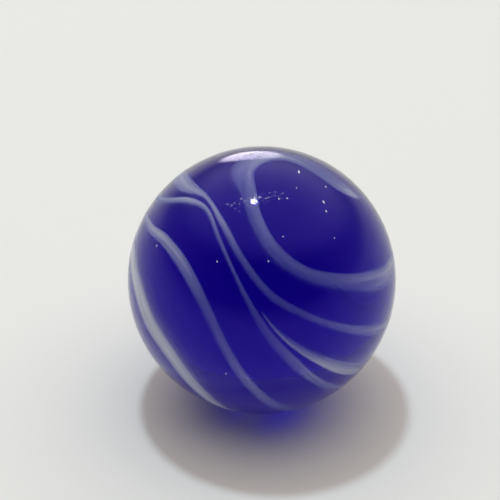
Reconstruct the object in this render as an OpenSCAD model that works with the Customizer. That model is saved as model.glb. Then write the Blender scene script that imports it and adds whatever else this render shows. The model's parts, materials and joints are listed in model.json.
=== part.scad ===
/* [Marble] */
// Diameter of the marble
marble_d = 16; // [12:0.5:25]
// Colour of the clear glass
blue_colour = "#1d0a78"; // [#1d0a78, #0b5c3a, #7a1020, #222222]
// Colour of the milky glass
white_colour = "#c9cdde"; // [#c9cdde, #f2efe6, #e8d38a]

/* [Swirl] */
// Tilt of the axis that the veins wind round, from upright towards the right
swirl_tilt = 50; // [0:5:90]
// Turn of the whole swirl about that axis
swirl_turn = 75; // [-180:5:180]
// Width of every vein, against the widths listed below
vein_width = 1; // [0.5:0.1:1.2]
// Depth of a vein's root under the surface, in widths of the vein
vein_depth = 1.2; // [0.6:0.1:1.6]
// Reach of a vein's root past the vein's soft edge, in widths of the vein
vein_lean = 0.6; // [0:0.1:0.8]

/* [Hidden] */

// Fineness of the ball, and steps of a vein from one listed point to the next
ball_fn = 180;
vein_steps = 4;

// How far a vein's wedge is carried on past the surface before the ball trims it, in widths
vein_trim = 0.3;

// Each vein from tip to tip. A point is the turn round the swirl's axis, the angle from that axis and the width.
// A vein is sharp along the left of its run and leans in under the blue glass along the right.
crown_vein = [
    [55, 5, 0.1], [95, 8.5, 0.9], [100, 17, 1.5], [90, 29, 1.6], [87, 41, 1.6], [94, 51, 1.7], [107, 57.5, 1.5],
    [125, 57, 0.95], [142, 58, 0.8], [160, 57.2, 0.85], [178, 51.6, 0.8], [200, 41, 1], [232, 31.5, 1.3],
    [265, 27, 1.2], [300, 26, 0.1]
];
upper_vein = [
    [12, 84, 0.1], [35, 88, 0.5], [60, 91, 0.8], [84, 90, 1], [104, 83.6, 1], [119, 74.5, 0.3], [136, 71.2, 0.4],
    [155, 70.5, 0.42], [174, 69, 0.45], [192, 63.5, 0.43], [210, 58.1, 0.5], [230, 54, 0.65], [258, 52.5, 0.85],
    [290, 53.5, 0.7], [320, 57, 0.45], [348, 62, 0.1]
];
hair_vein = [
    [20, 101, 0.1], [45, 104, 0.4], [70, 105, 0.45], [92, 102, 0.4], [106.5, 93.4, 0.45], [116, 82.5, 0.45],
    [126, 75.6, 0.3], [142, 75.1, 0.26], [160, 76.4, 0.24], [174, 78.2, 0.36], [188, 80.1, 0.55], [204, 81.1, 0.7],
    [220, 82.3, 0.6], [240, 83.7, 0.5], [265, 85, 0.4], [290, 87.5, 0.1]
];
fork_vein = [
    [325, 78, 0.1], [295, 74, 0.8], [262, 72.5, 1.15], [236, 72.6, 1.05], [214, 74, 0.65], [204, 75.2, 0.47],
    [196, 76.1, 0.35], [190, 76.5, 0.24], [184, 76.5, 0.15], [178, 76.2, 0.1]
];
middle_vein = [
    [15, 114, 0.1], [42, 114, 0.5], [70, 113, 0.6], [94, 110, 0.5], [114, 104.5, 0.55], [128, 97.6, 0.7],
    [144, 93.6, 0.8], [162, 94.1, 0.7], [180, 97.9, 0.66], [198, 101.8, 0.7], [220, 104.8, 0.78], [246, 104.2, 0.9],
    [278, 102.5, 0.8], [310, 102, 0.6], [340, 103, 0.1]
];
broad_vein = [
    [345, 127, 0.1], [315, 128.5, 0.7], [280, 130, 1.1], [245, 130.5, 1.3], [216, 131.2, 1.25], [194, 129.2, 1.3],
    [172, 127, 1.45], [150, 127, 1.45], [130, 124.3, 1.35], [108, 122.5, 1.2], [80, 126, 1], [48, 130, 0.6],
    [18, 132, 0.1]
];

// Direction at a turn round the swirl's axis and an angle from that axis
function direction(turn, polar) = [sin(polar) * cos(turn), sin(polar) * sin(turn), cos(polar)];

function unit(v) = v / norm(v);

// Smooth curve through four values in a row, at t from 0 to 1 between the middle two
function curve(a, b, c, d, t) =
    b + (c - a) * t / 2 + (2 * a - 5 * b + 4 * c - d) * t * t / 2 + (3 * b - 3 * c + d - a) * t * t * t / 2;

// Value of a list at a place along it, where a whole number is a listed value
function along(values, place) =
    let (last = len(values) - 1, i = min(floor(place), last - 1))
    curve(values[max(i - 1, 0)], values[i], values[i + 1], values[min(i + 2, last)], place - i);

// Wedge across a vein: its two edges carried past the surface, and its root.
// Sideways is to the right of the run, and outward is away from the ball's middle.
function wedge(place, sideways, outward, width) =
    let (
        root = place + sideways * (0.5 + vein_lean) * width - outward * vein_depth * width,
        reach = 1 + vein_trim / vein_depth
    )
    [
        root + (place - sideways * width / 2 - root) * reach,
        root + (place + sideways * width / 2 - root) * reach,
        root
    ];

// A vein is its wedge carried along its line of points over the ball
module vein(points) {
    centres = [for (p = points) direction(p[0], p[1])];
    widths = [for (p = points) p[2] * vein_width];
    places = [0 : 1 / vein_steps : len(points) - 1];
    run = [for (s = places) unit(along(centres, s))];
    width = [for (s = places) along(widths, s)];
    last = len(run) - 1;
    wedges = [
        for (i = [0 : last])
        let (ahead = run[min(i + 1, last)] - run[max(i - 1, 0)])
        wedge(run[i] * marble_d / 2, unit(cross(ahead, run[i])), run[i], width[i])
    ];
    walls = [
        for (i = [0 : last - 1])
        for (k = [0 : 2])
        let (a = 3 * i + k, b = 3 * i + (k + 1) % 3)
        each [[a, a + 3, b], [b, a + 3, b + 3]]
    ];
    ends = [[0, 1, 2], [3 * last + 2, 3 * last + 1, 3 * last]];
    polyhedron([for (w = wedges) each w], concat(walls, ends));
}

module ball() {
    sphere(d = marble_d, $fn = ball_fn);
}

module veins() {
    vein(crown_vein);
    vein(upper_vein);
    vein(hair_vein);
    vein(fork_vein);
    vein(middle_vein);
    vein(broad_vein);
}

// Stands the swirl's axis as it lies in the marble
module set_swirl() {
    rotate([0, swirl_tilt, 0])
    rotate([0, 0, swirl_turn])
    children();
}

// Clear ball, with the beds that the veins lie in
module blue_glass() {
    color(blue_colour)
    set_swirl()
    difference() {
        ball();
        veins();
    }
}

// Milky veins, flush with the ball
module white_swirl() {
    color(white_colour)
    set_swirl()
    intersection() {
        ball();
        veins();
    }
}

blue_glass();
white_swirl();
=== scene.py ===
import json

import bpy
import numpy as np
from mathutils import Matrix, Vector


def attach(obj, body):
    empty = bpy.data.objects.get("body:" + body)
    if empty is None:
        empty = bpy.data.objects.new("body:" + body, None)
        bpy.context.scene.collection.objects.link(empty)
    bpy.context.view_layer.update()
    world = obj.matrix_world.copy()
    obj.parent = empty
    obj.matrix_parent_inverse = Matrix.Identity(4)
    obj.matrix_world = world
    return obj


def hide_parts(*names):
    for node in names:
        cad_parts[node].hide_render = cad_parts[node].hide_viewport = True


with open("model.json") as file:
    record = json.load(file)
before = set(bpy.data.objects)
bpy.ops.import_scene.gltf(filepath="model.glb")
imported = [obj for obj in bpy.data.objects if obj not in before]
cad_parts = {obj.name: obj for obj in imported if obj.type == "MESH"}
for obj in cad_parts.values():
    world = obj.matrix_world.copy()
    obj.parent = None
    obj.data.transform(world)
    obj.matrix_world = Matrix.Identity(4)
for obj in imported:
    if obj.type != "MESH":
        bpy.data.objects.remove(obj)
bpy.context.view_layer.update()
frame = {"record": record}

# Ball of cobalt-blue glass: one gob, rolled round while it was soft and left to cool, so its skin is
# fire-polished and very slightly uneven. It is solid and clear, and its colour deepens with the glass
# that the light goes through.
MM = 0.001
ball_r = -frame["record"]["mounts"][0]["pos_m"][2]
ball_rings = 160
ball_sides = 320
skin_wave = 0.005 * MM
skin_turns = np.array([[2.1, 0.7, -1.6], [-1.3, 2.4, 0.9], [0.8, -1.9, 2.6], [3.1, 1.2, 1.9]])


def skin(direction):
    """Radius of the ball's skin in each direction: its true radius and four slow waves across it."""
    return ball_r + skin_wave * np.sin(direction @ skin_turns.T + np.arange(len(skin_turns))).sum(-1)


def mesh_piece(name, points, walls, ends, material):
    """Makes a smooth-shaded piece from its points, its walls and the fans at its ends. It rides on the marble."""
    mesh = bpy.data.meshes.new(name)
    mesh.from_pydata(points.tolist(), [], walls.tolist() + ends.tolist())
    mesh.shade_smooth()
    mesh.materials.append(material)
    piece = bpy.data.objects.new(name, mesh)
    bpy.context.scene.collection.objects.link(piece)
    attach(piece, "root")
    return piece


def closed_sweep(rings, first_tip, last_tip):
    """Joins rings of points, each closed on itself, into walls, and closes both tips with a fan. The rings go round
    by the right hand as they go from the first tip to the last, so the faces point outward."""
    count, around = rings.shape[:2]
    row = np.arange(count - 1)[:, None] * around
    here = np.arange(around)[None, :]
    after = (here + 1) % around
    walls = np.stack([row + here, row + after, row + around + after, row + around + here], -1)
    first, last = count * around, count * around + 1
    start = np.stack([np.full(around, first), after[0], here[0]], -1)
    end = np.stack([np.full(around, last), here[0], after[0]], -1)
    end[:, 1:] += (count - 1) * around
    points = np.concatenate([rings.reshape(-1, 3), [first_tip, last_tip]])
    return points, walls.reshape(-1, 4), np.concatenate([start, end])


def linear(hex_colour):
    """An sRGB hex colour as linear red, green, blue and a full alpha."""
    srgb = np.array([int(hex_colour[i:i + 2], 16) for i in (1, 3, 5)]) / 255
    light = np.where(srgb <= 0.04045, srgb / 12.92, ((srgb + 0.055) / 1.055) ** 2.4)
    return (*light.tolist(), 1.0)


def add_node(tree, kind, inputs=None, **settings):
    """Adds one node with its settings. Each input is a constant, or the output that feeds it."""
    made = tree.nodes.new(kind)
    for setting, value in settings.items():
        setattr(made, setting, value)
    for socket, value in (inputs or {}).items():
        if isinstance(value, bpy.types.NodeSocket):
            tree.links.new(value, made.inputs[socket])
        else:
            made.inputs[socket].default_value = value
    return made


def new_material(name):
    """An empty node material, and its output node."""
    material = bpy.data.materials.new(name)
    material.use_nodes = True
    material.node_tree.nodes.clear()
    return material, add_node(material.node_tree, "ShaderNodeOutputMaterial")


# Cobalt soda-lime glass, fire-polished. It passes violet-blue and takes out green first, then red, so the eye sees
# a clear deep blue, darkest where it is thick. glass_depth is how strongly each metre of it colours the light, and
# glass_gloss tints what the skin mirrors face on, so that this doesn't grey the blue.
glass_tint = "#9800E8"
glass_depth = 500
glass_ior = 1.52
glass_roughness = 0.02
glass_gloss = "#8A74FF"

cobalt_glass, output = new_material("cobalt_glass")
tree = cobalt_glass.node_tree
surface = add_node(tree, "ShaderNodeBsdfPrincipled", {
    "Base Color": (1, 1, 1, 1), "Roughness": glass_roughness, "IOR": glass_ior, "Transmission Weight": 1.0,
    "Specular Tint": linear(glass_gloss),
})
body = add_node(tree, "ShaderNodeVolumeAbsorption", {"Color": linear(glass_tint), "Density": glass_depth})
tree.links.new(surface.outputs[0], output.inputs["Surface"])
tree.links.new(body.outputs[0], output.inputs["Volume"])

lean_back = np.linspace(0, np.pi, ball_rings + 2)[1:-1, None]
go_round = np.linspace(0, 2 * np.pi, ball_sides, endpoint=False)[None, :]
outward = np.stack([
    0 * go_round - np.cos(lean_back), np.sin(lean_back) * np.cos(go_round), np.sin(lean_back) * np.sin(go_round),
], -1)
tips = np.array([[-1.0, 0, 0], [1.0, 0, 0]])
skin_sweep = closed_sweep(outward * skin(outward)[..., None], *(tips * skin(tips)[:, None]))
ball = mesh_piece("cobalt_ball", *skin_sweep, cobalt_glass)
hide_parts("blue_glass")

# Veins of milky white glass: threads of it were laid on the hot gob and folded in as it turned. Each one is
# flush with the skin, sharp along one edge, and leans in under the blue along the other.
swirl_tilt = 50
swirl_turn = 75
vein_depth = 1.2
vein_lean = 0.6
vein_steps = 24
face_columns = 14
wall_columns = 5
vein_proud = 0.004 * MM
soft_flank = 0.35
milk_climb = 0.35
milk_fade = 0.8

# Each point is the turn round the swirl's axis, the angle from that axis, the width in millimetres, how milky
# the vein is there, and where across its face it is milkiest, from 0 at the left of its run to 1 at the right.
veins = {
    "crown_vein": [
        (55, 5, 0.1, 0.05, 0.4), (95, 8.5, 0.9, 0.53, 0.4), (100, 17, 1.5, 0.38, 0.35),
        (90, 29, 1.6, 0.33, 0.3), (87, 41, 1.6, 0.42, 0.3), (94, 51, 1.7, 0.43, 0.3),
        (107, 57.5, 1.5, 0.36, 0.3), (125, 57, 0.95, 0.31, 0.28), (142, 58, 0.8, 0.3, 0.28),
        (160, 57.2, 0.85, 0.24, 0.28), (178, 51.6, 0.8, 0.23, 0.28), (200, 41, 1, 0.3, 0.3),
        (232, 31.5, 1.3, 0.48, 0.4), (265, 27, 1.2, 0.6, 0.4), (300, 26, 0.1, 0.1, 0.4),
    ],
    "upper_vein": [
        (12, 84, 0.1, 0.1, 0.4), (35, 88, 0.5, 0.6, 0.4), (60, 91, 0.8, 0.7, 0.4), (84, 90, 1, 0.5, 0.4),
        (104, 83.6, 1, 0.52, 0.5), (119, 74.5, 0.3, 0.46, 0.6), (136, 71.2, 0.4, 0.45, 0.5),
        (155, 70.5, 0.42, 0.2, 0.45), (174, 69, 0.45, 0.17, 0.4), (192, 63.5, 0.43, 0.19, 0.45),
        (210, 58.1, 0.5, 0.29, 0.5), (230, 54, 0.65, 0.43, 0.5), (258, 52.5, 0.85, 0.53, 0.45),
        (290, 53.5, 0.7, 0.65, 0.4), (320, 57, 0.45, 0.5, 0.4), (348, 62, 0.1, 0.1, 0.4),
    ],
    "hair_vein": [
        (20, 101, 0.1, 0.1, 0.4), (45, 104, 0.4, 0.5, 0.4), (70, 105, 0.45, 0.55, 0.4),
        (92, 102, 0.4, 0.4, 0.35), (106.5, 93.4, 0.45, 0.45, 0.3), (116, 82.5, 0.45, 0.54, 0.3),
        (126, 75.6, 0.3, 0.43, 0.35), (142, 75.1, 0.26, 0.29, 0.4), (160, 76.4, 0.24, 0.18, 0.4),
        (174, 78.2, 0.36, 0.17, 0.4), (188, 80.1, 0.55, 0.2, 0.35), (204, 81.1, 0.7, 0.3, 0.3),
        (220, 82.3, 0.6, 0.42, 0.4), (240, 83.7, 0.5, 0.42, 0.4), (265, 85, 0.4, 0.5, 0.4),
        (290, 87.5, 0.1, 0.1, 0.4),
    ],
    "fork_vein": [
        (325, 78, 0.1, 0.1, 0.4), (295, 74, 0.8, 0.65, 0.3), (262, 72.5, 1.15, 0.68, 0.28),
        (236, 72.6, 1.05, 0.66, 0.25), (214, 74, 0.65, 0.62, 0.22), (204, 75.2, 0.47, 0.46, 0.22),
        (196, 76.1, 0.35, 0.4, 0.25), (190, 76.5, 0.24, 0.38, 0.3), (184, 76.5, 0.15, 0.28, 0.4),
        (178, 76.2, 0.1, 0.15, 0.4),
    ],
    "middle_vein": [
        (15, 114, 0.1, 0.1, 0.4), (42, 114, 0.5, 0.5, 0.4), (70, 113, 0.6, 0.55, 0.4),
        (94, 110, 0.5, 0.45, 0.4), (114, 104.5, 0.55, 0.55, 0.4), (128, 97.6, 0.7, 0.57, 0.45),
        (144, 93.6, 0.8, 0.42, 0.45), (162, 94.1, 0.7, 0.24, 0.45), (180, 97.9, 0.66, 0.26, 0.45),
        (198, 101.8, 0.7, 0.36, 0.45), (220, 104.8, 0.78, 0.31, 0.45), (246, 104.2, 0.9, 0.34, 0.45),
        (278, 102.5, 0.8, 0.5, 0.4), (310, 102, 0.6, 0.5, 0.4), (340, 103, 0.1, 0.1, 0.4),
    ],
    "broad_vein": [
        (345, 127, 0.1, 0.1, 0.4), (315, 128.5, 0.7, 0.6, 0.4), (280, 130, 1.1, 0.7, 0.4),
        (245, 130.5, 1.3, 0.7, 0.4), (216, 131.2, 1.25, 0.72, 0.4), (194, 129.2, 1.3, 0.78, 0.46),
        (172, 127, 1.45, 0.86, 0.58), (150, 127, 1.45, 0.95, 0.56), (130, 124.3, 1.35, 1, 0.42),
        (108, 122.5, 1.2, 1, 0.38), (80, 126, 1, 0.8, 0.35), (48, 130, 0.6, 0.6, 0.4),
        (18, 132, 0.1, 0.1, 0.4),
    ],
}


def swirl_direction(turn, polar):
    """Direction at a turn round the swirl's axis and an angle from it, with the axis leaned over to the right."""
    turn, polar, tilt = np.radians(turn + swirl_turn), np.radians(polar), np.radians(swirl_tilt)
    across, along = np.sin(polar) * np.cos(turn), np.cos(polar)
    return np.stack([
        across * np.cos(tilt) + along * np.sin(tilt),
        np.sin(polar) * np.sin(turn),
        along * np.cos(tilt) - across * np.sin(tilt),
    ], -1)


def smooth_run(values):
    """A cubic through each listed value in turn, with the slope there set by the values on either side."""
    last = len(values) - 1
    place = np.linspace(0, last, last * vein_steps + 1)
    i = np.minimum(place.astype(int), last - 1)
    t = (place - i)[:, None]
    a, b, c, d = (values[np.clip(i + k, 0, last)] for k in (-1, 0, 1, 2))
    return b + ((c - a) * t + (2 * a - 5 * b + 4 * c - d) * t**2 + (3 * b - 3 * c + d - a) * t**3) / 2


def unit(vectors):
    """Each vector at a length of one."""
    return vectors / np.linalg.norm(vectors, axis=-1, keepdims=True)


# Across a vein, in its widths: over its face from left to right, down its wall to the root, and up its other wall
face = np.linspace(0, 1, face_columns)
down = np.linspace(0, 1, wall_columns + 1)[1:]
up = down[:-1]
aside = np.concatenate([face - 0.5, 0.5 + vein_lean * down, (0.5 + vein_lean) * (1 - up) - 0.5 * up])
deep = np.concatenate([0 * face, vein_depth * down, vein_depth * (1 - up)])
across = np.concatenate([face, 1 + vein_lean * down, 0 * up])
section_run = np.concatenate([[0], np.cumsum(np.hypot(np.diff(aside), np.diff(deep)))])


def vein_rings(listed):
    """Carries the section along the smooth run over the ball. Gives its points, how milky each one is, and its
    place on the vein in millimetres along the run and across it. The milk climbs fast from the left edge to the
    milkiest line, and fades slowly past the right edge, down the wall under the blue."""
    listed = np.array(listed, float)
    centre = unit(smooth_run(swirl_direction(listed[:, 0], listed[:, 1])))
    width, milk, peak = smooth_run(listed[:, 2:]).T[..., None]
    right = unit(np.cross(np.gradient(centre, axis=0), centre))
    bend = (width * aside * MM / ball_r)[..., None]
    outward = centre[:, None] * np.cos(bend) + right[:, None] * np.sin(bend)
    points = outward * (skin(outward) + vein_proud - width * deep * MM)[..., None]
    climb = (across / peak) ** milk_climb
    fade = (np.maximum(1 + soft_flank - across, 0) / (1 + soft_flank - peak)) ** milk_fade
    milk = milk * np.minimum(climb, fade)
    gone = np.linalg.norm(np.diff(centre, axis=0), axis=1).cumsum() * ball_r / MM
    along = np.concatenate([[0], gone])[:, None] + 0 * milk
    return points, milk, np.stack([along, width * section_run], -1)


# Opal glass, fire-polished with the ball: white where it is thick, and a hazy blue where it thins out, with fine
# streaks along its run. Some of the light goes through it, so the veins at the back glow in the blue.
# The streaks' sizes are in millimetres.
thick_milk = "#E6ECF3"
thin_milk = "#9CACF6"
milk_passes = 0.2
thin_at, thick_at = 0.05, 0.6
streak_across = 0.2
streak_along = 4.0
streak_noise = (0.3, 0.7)
streak_milk = (0.8, 1.2)

milk_glass, output = new_material("milk_glass")
tree = milk_glass.node_tree
milk = add_node(tree, "ShaderNodeAttribute", attribute_name="milk").outputs["Fac"]
run = add_node(tree, "ShaderNodeUVMap", uv_map="run_mm").outputs["UV"]
run = add_node(tree, "ShaderNodeMapping", {
    "Vector": run, "Scale": (1 / streak_along, 1 / streak_across, 1),
}).outputs["Vector"]
streaks = add_node(tree, "ShaderNodeTexNoise", {"Vector": run, "Scale": 1.0, "Detail": 3.0}).outputs["Fac"]
streaks = add_node(tree, "ShaderNodeMapRange", {
    "Value": streaks, "From Min": streak_noise[0], "From Max": streak_noise[1],
    "To Min": streak_milk[0], "To Max": streak_milk[1],
}).outputs["Result"]
opacity = add_node(tree, "ShaderNodeMath", {0: milk, 1: streaks}, operation="MULTIPLY", use_clamp=True).outputs[0]
thickness = add_node(tree, "ShaderNodeMapRange", {
    "Value": opacity, "From Min": thin_at, "From Max": thick_at,
}).outputs["Result"]
colour = add_node(tree, "ShaderNodeMix", {
    "Factor": thickness, "A": linear(thin_milk), "B": linear(thick_milk),
}, data_type="RGBA").outputs["Result"]
front = add_node(tree, "ShaderNodeBsdfPrincipled", {
    "Base Color": colour, "Roughness": glass_roughness, "IOR": glass_ior, "Specular Tint": linear(glass_gloss),
}).outputs[0]
through = add_node(tree, "ShaderNodeBsdfTranslucent", {"Color": colour}).outputs[0]
milky = add_node(tree, "ShaderNodeMixShader", {0: milk_passes, 1: front, 2: through}).outputs[0]
clear = add_node(tree, "ShaderNodeBsdfTransparent").outputs[0]
surface = add_node(tree, "ShaderNodeMixShader", {0: opacity, 1: clear, 2: milky})
tree.links.new(surface.outputs[0], output.inputs["Surface"])

for name, listed in veins.items():
    rings, milk, run_mm = vein_rings(listed)
    vein = mesh_piece(name, *closed_sweep(rings, rings[0].mean(0), rings[-1].mean(0)), milk_glass)
    milk = np.concatenate([milk.ravel(), [0, 0]]).astype(np.float32)
    vein.data.attributes.new("milk", "FLOAT", "POINT").data.foreach_set("value", milk)
    run_mm = np.concatenate([run_mm.reshape(-1, 2), run_mm[[0, -1], 0]]).astype(np.float32)
    corners = np.empty(len(vein.data.loops), int)
    vein.data.loops.foreach_get("vertex_index", corners)
    vein.data.uv_layers.new(name="run_mm").data.foreach_set("uv", run_mm[corners].ravel())
    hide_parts("white_swirl")

# Nicks in the skin: chips that the ball got in play, where the glass has broken to a dry white. Most lie
# singly. A trail of fine ones runs across the top, where the ball has been scuffed, closest at its middle, which is
# the lamp's highlight: there the white specks are real scuffs and painted glints of the lamp.
nick_flat = 0.3
nick_rings = 5
nick_sides = 12
# The scuff trail is centred on the lamp's highlight, where its white specks are painted glints on real scuffs.
glint_scuff_count = 90
glint_scuff_polar, glint_scuff_reach = 55.5, 12
glint_scuff_turn, glint_scuff_spread = 129.8, 1.5
glint_scuff_length = (0.03, 0.085)
glint_scuff_slim = (0.4, 0.8)

# Each nick is the turn round the swirl's axis, the angle from it, the length in millimetres and the slimness.
nicks = [
    (107, 34.5, 0.32, 0.35), (118.5, 23, 0.13, 0.8), (125, 37, 0.1, 0.8), (139.5, 27, 0.24, 0.45),
    (149, 28, 0.14, 0.8), (172, 32, 0.08, 0.9), (154.5, 51.5, 0.08, 0.9), (126.5, 103, 0.14, 0.7),
    (150, 80, 0.1, 0.8), (161.5, 62, 0.1, 0.8), (192, 107, 0.1, 0.9), (132.5, 46, 0.12, 0.7),
    (133, 42.5, 0.12, 0.7),
]
chance = np.random.default_rng(4)
# The scuffs crowd toward the trail's middle, at the lamp's highlight: painted glints of the lamp.
trail = np.linspace(-1, 1, glint_scuff_count)
glint_scuffs = np.stack([
    chance.normal(glint_scuff_turn, glint_scuff_spread, glint_scuff_count), glint_scuff_polar + glint_scuff_reach * trail**3,
    chance.uniform(*glint_scuff_length, glint_scuff_count), chance.uniform(*glint_scuff_slim, glint_scuff_count),
], 1)

# Chipped glass, as it broke: its grain scatters the light, so the eye sees a dry sparkling white. On the
# scuff trail that white is also painted glints of the lamp. The grain's size is in millimetres.
chip_glint_dull = "#C9CEEA"
chip_glint_bright = "#F4F5FA"
chip_grain = 0.03
chip_roughness = 0.35

chipped_glass_and_glints, output = new_material("chipped_glass_and_glints")
tree = chipped_glass_and_glints.node_tree
grain = add_node(tree, "ShaderNodeTexCoord").outputs["Object"]
grain = add_node(tree, "ShaderNodeTexNoise", {"Vector": grain, "Scale": 1 / (chip_grain * MM)}).outputs["Fac"]
colour = add_node(tree, "ShaderNodeMix", {
    "Factor": grain, "A": linear(chip_glint_dull), "B": linear(chip_glint_bright),
}, data_type="RGBA").outputs["Result"]
surface = add_node(tree, "ShaderNodeBsdfPrincipled", {
    "Base Color": colour, "Roughness": chip_roughness, "IOR": glass_ior,
})
tree.links.new(surface.outputs[0], output.inputs["Surface"])

lean_back = np.linspace(0, np.pi, nick_rings + 2)[1:-1, None]
go_round = np.linspace(0, 2 * np.pi, nick_sides, endpoint=False)[None, :]
pebble = np.stack([
    np.sin(lean_back) * np.cos(go_round), np.sin(lean_back) * np.sin(go_round), 0 * go_round - np.cos(lean_back),
], -1)
pebble, walls, ends = closed_sweep(pebble, *np.array([[0, 0, -1.0], [0, 0, 1.0]]))

# Each nick is that pebble, drawn out along the skin to its length and slimness, and flattened into it
turn, polar, length, slim = np.concatenate([nicks, glint_scuffs]).T
outward = swirl_direction(turn, polar)
ahead = unit(swirl_direction(turn + 1, polar) - outward)
aslant = np.cross(outward, ahead)
form = np.stack([ahead, aslant * slim[:, None], outward * slim[:, None] * nick_flat], 1)
form *= length[:, None, None] * MM / 2
middle = outward * (skin(outward) + vein_proud)[:, None]
points = middle[:, None] + pebble @ form
first = np.arange(len(points))[:, None, None] * len(pebble)
# One piece holds the nicks and the scuff trail with its painted glints.
nick_and_glint_piece = mesh_piece(
    "nicks", points.reshape(-1, 3), (walls + first).reshape(-1, 4), (ends + first).reshape(-1, 3), chipped_glass_and_glints,
)

# Stage: a white sheet under the ball, one small lamp overhead, and a plain room with a soft light above. Its walls
# are dark on the camera's side and pale at their foot, and the gloss shows a window low down behind the ball.
# Each reach is how squarely a view has to face a light for it to begin, and for it to be full.
sheet_half = 0.6
sheet_white = "#E9E9E6"
sheet_roughness = 0.9
backdrop_pale = "#D4D4D1"
lamp_away = 0.45
lamp_from = Vector((-0.09, 0.24, 0.94)).normalized()
lamp_size = 0.04
lamp_watts = 0.69
lamp_tone = "#DFF2FF"
room_tone = "#FFF7F0"
wall_light = 0.29
dark_side_light = 0.02
dark_side = (0, -0.95, 0.3)
dark_side_reach = (0.05, 0.85)
foot_light = 0.45
foot_reach = (0, 0.25)
soft_light = 0.96
soft_light_from = (0.06, 0.31, 0.949)
soft_light_reach = (0.46, 0.8)
window_light = 4.8
window_towards = (-0.06, 0.985, 0.16)
window_reach = (0.98, 0.993)

# Matt white paper, which shows the ball's shadow and the blue light that the ball throws under itself
white_sheet, output = new_material("white_sheet")
tree = white_sheet.node_tree
surface = add_node(tree, "ShaderNodeBsdfPrincipled", {
    "Base Color": linear(sheet_white), "Roughness": sheet_roughness,
})
tree.links.new(surface.outputs[0], output.inputs["Surface"])
mesh = bpy.data.meshes.new("sheet")
corners = [(-1, -1), (1, -1), (1, 1), (-1, 1)]
mesh.from_pydata([(x * sheet_half, y * sheet_half, -ball_r) for x, y in corners], [], [(0, 1, 2, 3)])
mesh.materials.append(white_sheet)
sheet = bpy.data.objects.new("sheet", mesh)
bpy.context.scene.collection.objects.link(sheet)

lamp = bpy.data.lights.new("lamp", "AREA")
lamp.shape = "DISK"
lamp.size = lamp_size
lamp.energy = lamp_watts
lamp.color = linear(lamp_tone)[:3]
lamp_object = bpy.data.objects.new("lamp", lamp)
lamp_object.location = lamp_from * lamp_away
lamp_object.rotation_euler = lamp_from.to_track_quat("Z", "Y").to_euler()
bpy.context.scene.collection.objects.link(lamp_object)

room = bpy.data.worlds.new("room")
bpy.context.scene.world = room
room.use_nodes = True
tree = room.node_tree
tree.nodes.clear()
towards = add_node(tree, "ShaderNodeTexCoord").outputs["Generated"]


def patch(direction, reach, low, high):
    """The light of the room, which goes smoothly from low to high as the view turns towards a direction."""
    facing = add_node(tree, "ShaderNodeVectorMath", {0: towards, 1: direction}, operation="DOT_PRODUCT")
    return add_node(tree, "ShaderNodeMapRange", {
        "Value": facing.outputs["Value"], "From Min": reach[0], "From Max": reach[1], "To Min": low, "To Max": high,
    }, interpolation_type="SMOOTHSTEP").outputs["Result"]


walls = patch(dark_side, dark_side_reach, wall_light, dark_side_light)
above = patch(soft_light_from, soft_light_reach, 0, soft_light)
foot = patch((0, 0, 1), foot_reach, foot_light, 0)
window = patch(window_towards, window_reach, 0, window_light)
ray = add_node(tree, "ShaderNodeLightPath").outputs

# The camera sees a plain pale backdrop in place of the lit room, and so does a ray that has gone through the glass
plain = add_node(tree, "ShaderNodeMath", {
    0: ray["Is Camera Ray"], 1: ray["Is Transmission Ray"],
}, operation="MAXIMUM").outputs[0]
light = add_node(tree, "ShaderNodeMath", {0: walls, 1: above}, operation="ADD").outputs[0]
light = add_node(tree, "ShaderNodeMath", {0: light, 1: foot}, operation="ADD").outputs[0]
light = add_node(tree, "ShaderNodeMath", {
    0: window, 1: ray["Is Glossy Ray"], 2: light,
}, operation="MULTIPLY_ADD").outputs[0]
light = add_node(tree, "ShaderNodeBackground", {"Color": linear(room_tone), "Strength": light}).outputs[0]
backdrop = add_node(tree, "ShaderNodeBackground", {"Color": linear(backdrop_pale), "Strength": 1.0}).outputs[0]
seen = add_node(tree, "ShaderNodeMixShader", {0: plain, 1: light, 2: backdrop}).outputs[0]
add_node(tree, "ShaderNodeOutputWorld", {"Surface": seen})

# Camera: in front of the ball and 35 degrees up, far enough off that the ball looks round
camera_away = 0.13
camera_up = np.radians(35)
frame_px = 500
ball_px = 134.1
ball_centre_px = (261.8, 279.9)

camera = bpy.data.cameras.new("camera")
camera.lens = camera.sensor_width * ball_px / frame_px / np.tan(np.arcsin(ball_r / camera_away))
camera.shift_x = 0.5 - ball_centre_px[0] / frame_px
camera.shift_y = ball_centre_px[1] / frame_px - 0.5
camera.clip_start = 0.01
camera_object = bpy.data.objects.new("camera", camera)
back = Vector((0, -np.cos(camera_up), np.sin(camera_up)))
camera_object.location = back * camera_away
camera_object.rotation_euler = back.to_track_quat("Z", "Y").to_euler()
bpy.context.scene.collection.objects.link(camera_object)
bpy.context.scene.camera = camera_object
bpy.context.scene.view_settings.view_transform = "Standard"
